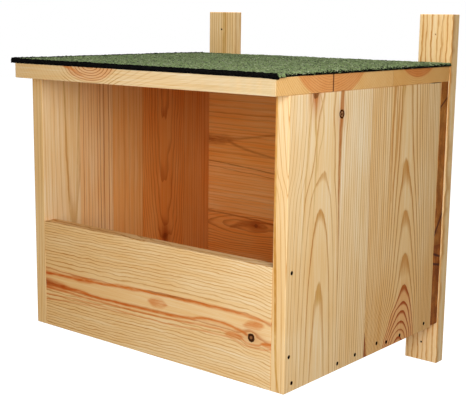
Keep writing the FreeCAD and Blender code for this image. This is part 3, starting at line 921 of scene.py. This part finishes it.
# %% Felt material
def granules(name):
    g = Graph(name)
    point = g.add("ShaderNodeTexCoord").outputs["Object"]
    cells = g.add("ShaderNodeTexVoronoi", {"Vector": point, "Scale": 560.0})
    lot = g.add("ShaderNodeSeparateXYZ", {0: cells.outputs["Color"]})
    split = g.add("ShaderNodeSeparateXYZ", {0: point})
    x, y, z = (g.times(split.outputs[i], MM) for i in range(3))
    clump = g.noise(g.vector(g.over(x, 3.4), g.over(y, 5.0), g.over(z, 5.0)), 2.0)
    cloud = g.noise(g.vector(g.over(x, 24), g.over(y, 24), 0.0), 2.0)
    green = g.blend(lot.outputs[0], (0.31, 0.46, 0.155, 1), (0.60, 0.76, 0.33, 1))
    green = g.blend(g.ramp(lot.outputs[1], 0.84, 0.93), green, (0.86, 0.92, 0.60, 1))
    green = g.blend(g.ramp(lot.outputs[2], 0.80, 0.92), green, (0.035, 0.050, 0.022, 1))
    green = g.blend(g.ramp(clump, 0.02, 0.24, 0.0, 0.7), green, (0.10, 0.17, 0.06, 1))
    green = g.blend(g.ramp(clump, -0.02, -0.24, 0.0, 0.6), green, (0.66, 0.78, 0.36, 1))
    green = g.blend(g.ramp(cloud, 0.0, 0.3, 0.0, 0.35), green, (0.16, 0.26, 0.10, 1))
    normal = g.add("ShaderNodeSeparateXYZ", {0: g.add("ShaderNodeNewGeometry").outputs["True Normal"]})
    top = g.ramp(g.plus(normal.outputs[2], g.times(lot.outputs[0], 0.3)), 0.25, 0.45)
    ragged = g.times(clump, 5.0)
    front = g.plus(g.minus(y, felt_low.y * MM), ragged)
    left = g.plus(g.minus(x, felt_low.x * MM), ragged)
    strip = g.path(x, [(felt_low.x * MM, 5.4), (60, 5.4), (150, 4.4), (184, 3.0), (202, 1.0)])
    bare = g.times(g.ramp(g.minus(front, strip), 0.0, 2.0), g.ramp(left, 6.0, 8.0))
    top = g.times(top, bare)
    colour = g.blend(top, (0.0050, 0.0042, 0.0040, 1), green)
    height = g.plus(g.times(cells.outputs["Distance"], -300.0), g.times(clump, 0.4))
    roughness = g.ramp(top, 0.0, 1.0, 0.75, 0.9)
    return g.finish(colour, roughness, height, 0.0004, g.ramp(top, 0.0, 1.0, 0.03, 0.2))


felt.data.materials.append(granules("felt_granules"))

# %% [markdown]
# ## The studio
#
# A plain pale floor well below the box, a large soft lamp high on the right, in front of the
# panel that is brightest, a weaker one low in front and a little to the right, and one
# straight above. The floor and the far background show white to the camera; that white is
# added for camera, mirror and glass rays only, so it puts no light on the box.

# %% Floor and background
FLOOR_DROP = 0.55
WHITE = (1, 1, 1, 1)


def seen_directly(g):
    """1 for rays from the camera and for reflections and refractions."""
    path = g.add("ShaderNodeLightPath")
    sharp = g.sum("MAXIMUM", path.outputs["Is Glossy Ray"], path.outputs["Is Transmission Ray"])
    return g.sum("MAXIMUM", path.outputs["Is Camera Ray"], sharp)


def pale_floor():
    reach = 12.0
    mesh = bpy.data.meshes.new("studio_floor")
    z = cad_low.z - FLOOR_DROP
    mesh.from_pydata([(-reach, -reach, z), (reach, -reach, z), (reach, reach, z), (-reach, reach, z)],
                     [], [(0, 1, 2, 3)])
    floor = bpy.data.objects.new("studio_floor", mesh)
    bpy.context.scene.collection.objects.link(floor)
    floor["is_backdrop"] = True
    g = Graph("pale_floor")
    diffuse = g.add("ShaderNodeBsdfDiffuse", {"Color": (0.86, 0.86, 0.86, 1)})
    glow = g.add("ShaderNodeEmission", {"Color": WHITE, "Strength": g.times(seen_directly(g), 0.95)})
    both = g.add("ShaderNodeAddShader")
    g.tree.links.new(diffuse.outputs[0], both.inputs[0])
    g.tree.links.new(glow.outputs[0], both.inputs[1])
    out = g.add("ShaderNodeOutputMaterial")
    g.tree.links.new(both.outputs[0], out.inputs[0])
    mesh.materials.append(g.material)


def world_light(strength):
    world = bpy.data.worlds.new("studio")
    bpy.context.scene.world = world
    world.use_nodes = True
    tree = world.node_tree
    tree.nodes.clear()
    path = tree.nodes.new("ShaderNodeLightPath")
    back = tree.nodes.new("ShaderNodeBackground")
    out = tree.nodes.new("ShaderNodeOutputWorld")
    level = tree.nodes.new("ShaderNodeMapRange")
    tree.links.new(path.outputs["Is Camera Ray"], level.inputs["Value"])
    level.inputs["To Min"].default_value = strength
    level.inputs["To Max"].default_value = 1.0
    back.inputs["Color"].default_value = WHITE
    tree.links.new(level.outputs[0], back.inputs["Strength"])
    tree.links.new(back.outputs[0], out.inputs["Surface"])


pale_floor()
world_light(0.18)

# %% Lamps
centre = (cad_low + cad_high) / 2


def lamp(name, azimuth, elevation, distance, size, power, tint=(1, 1, 1)):
    """A square soft lamp aimed at the box. Azimuth 0 is in front of it, 90 on its right."""
    a, e = math.radians(azimuth), math.radians(elevation)
    way = Vector((math.sin(a) * math.cos(e), -math.cos(a) * math.cos(e), math.sin(e)))
    light = bpy.data.lights.new(name, "AREA")
    light.shape, light.size = "SQUARE", size
    light.energy, light.color = power, tint
    thing = bpy.data.objects.new(name, light)
    thing.location = centre + way * distance
    thing.rotation_mode = "QUATERNION"
    thing.rotation_quaternion = way.to_track_quat("Z", "Y")
    bpy.context.scene.collection.objects.link(thing)


lamp("key", 50, 20, 0.95, 0.43, 4.7)
lamp("front", 22, 10, 1.3, 0.6, 5.2)
lamp("top", 0, 89.9, 1.3, 0.6, 18)

# %% [markdown]
# ## The camera
#
# It stands a little above the roof, in front and to the right, tipped down by some ten degrees
# and turned by less than one about its own axis, as a camera on a tripod often is.

# %% Camera
AZIMUTH, TIP, ROLL = 39.265, 10.392, 0.690
FIELD = 25.84
STAND = Vector((0.8036, -1.1846, 0.2239))


def camera():
    data = bpy.data.cameras.new("camera")
    data.sensor_width = 36.0
    data.lens = data.sensor_width / 2 / math.tan(math.radians(FIELD / 2))
    data.clip_start, data.clip_end = 0.05, 60.0
    thing = bpy.data.objects.new("camera", data)
    turn = (Matrix.Rotation(math.radians(AZIMUTH), 4, "Z")
            @ Matrix.Rotation(math.radians(90 - TIP), 4, "X")
            @ Matrix.Rotation(math.radians(ROLL), 4, "Z"))
    thing.matrix_world = Matrix.Translation(STAND) @ turn
    bpy.context.scene.collection.objects.link(thing)
    bpy.context.scene.camera = thing


camera()
bpy.context.scene.view_settings.view_transform = "Standard"

# %% Compare the finished size with the ready-made one, and finish
low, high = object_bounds()
print("grown by (mm):", [round((b - a) * MM, 2) for a, b in zip(high, cad_high)],
      [round((a - b) * MM, 2) for a, b in zip(low, cad_low)])
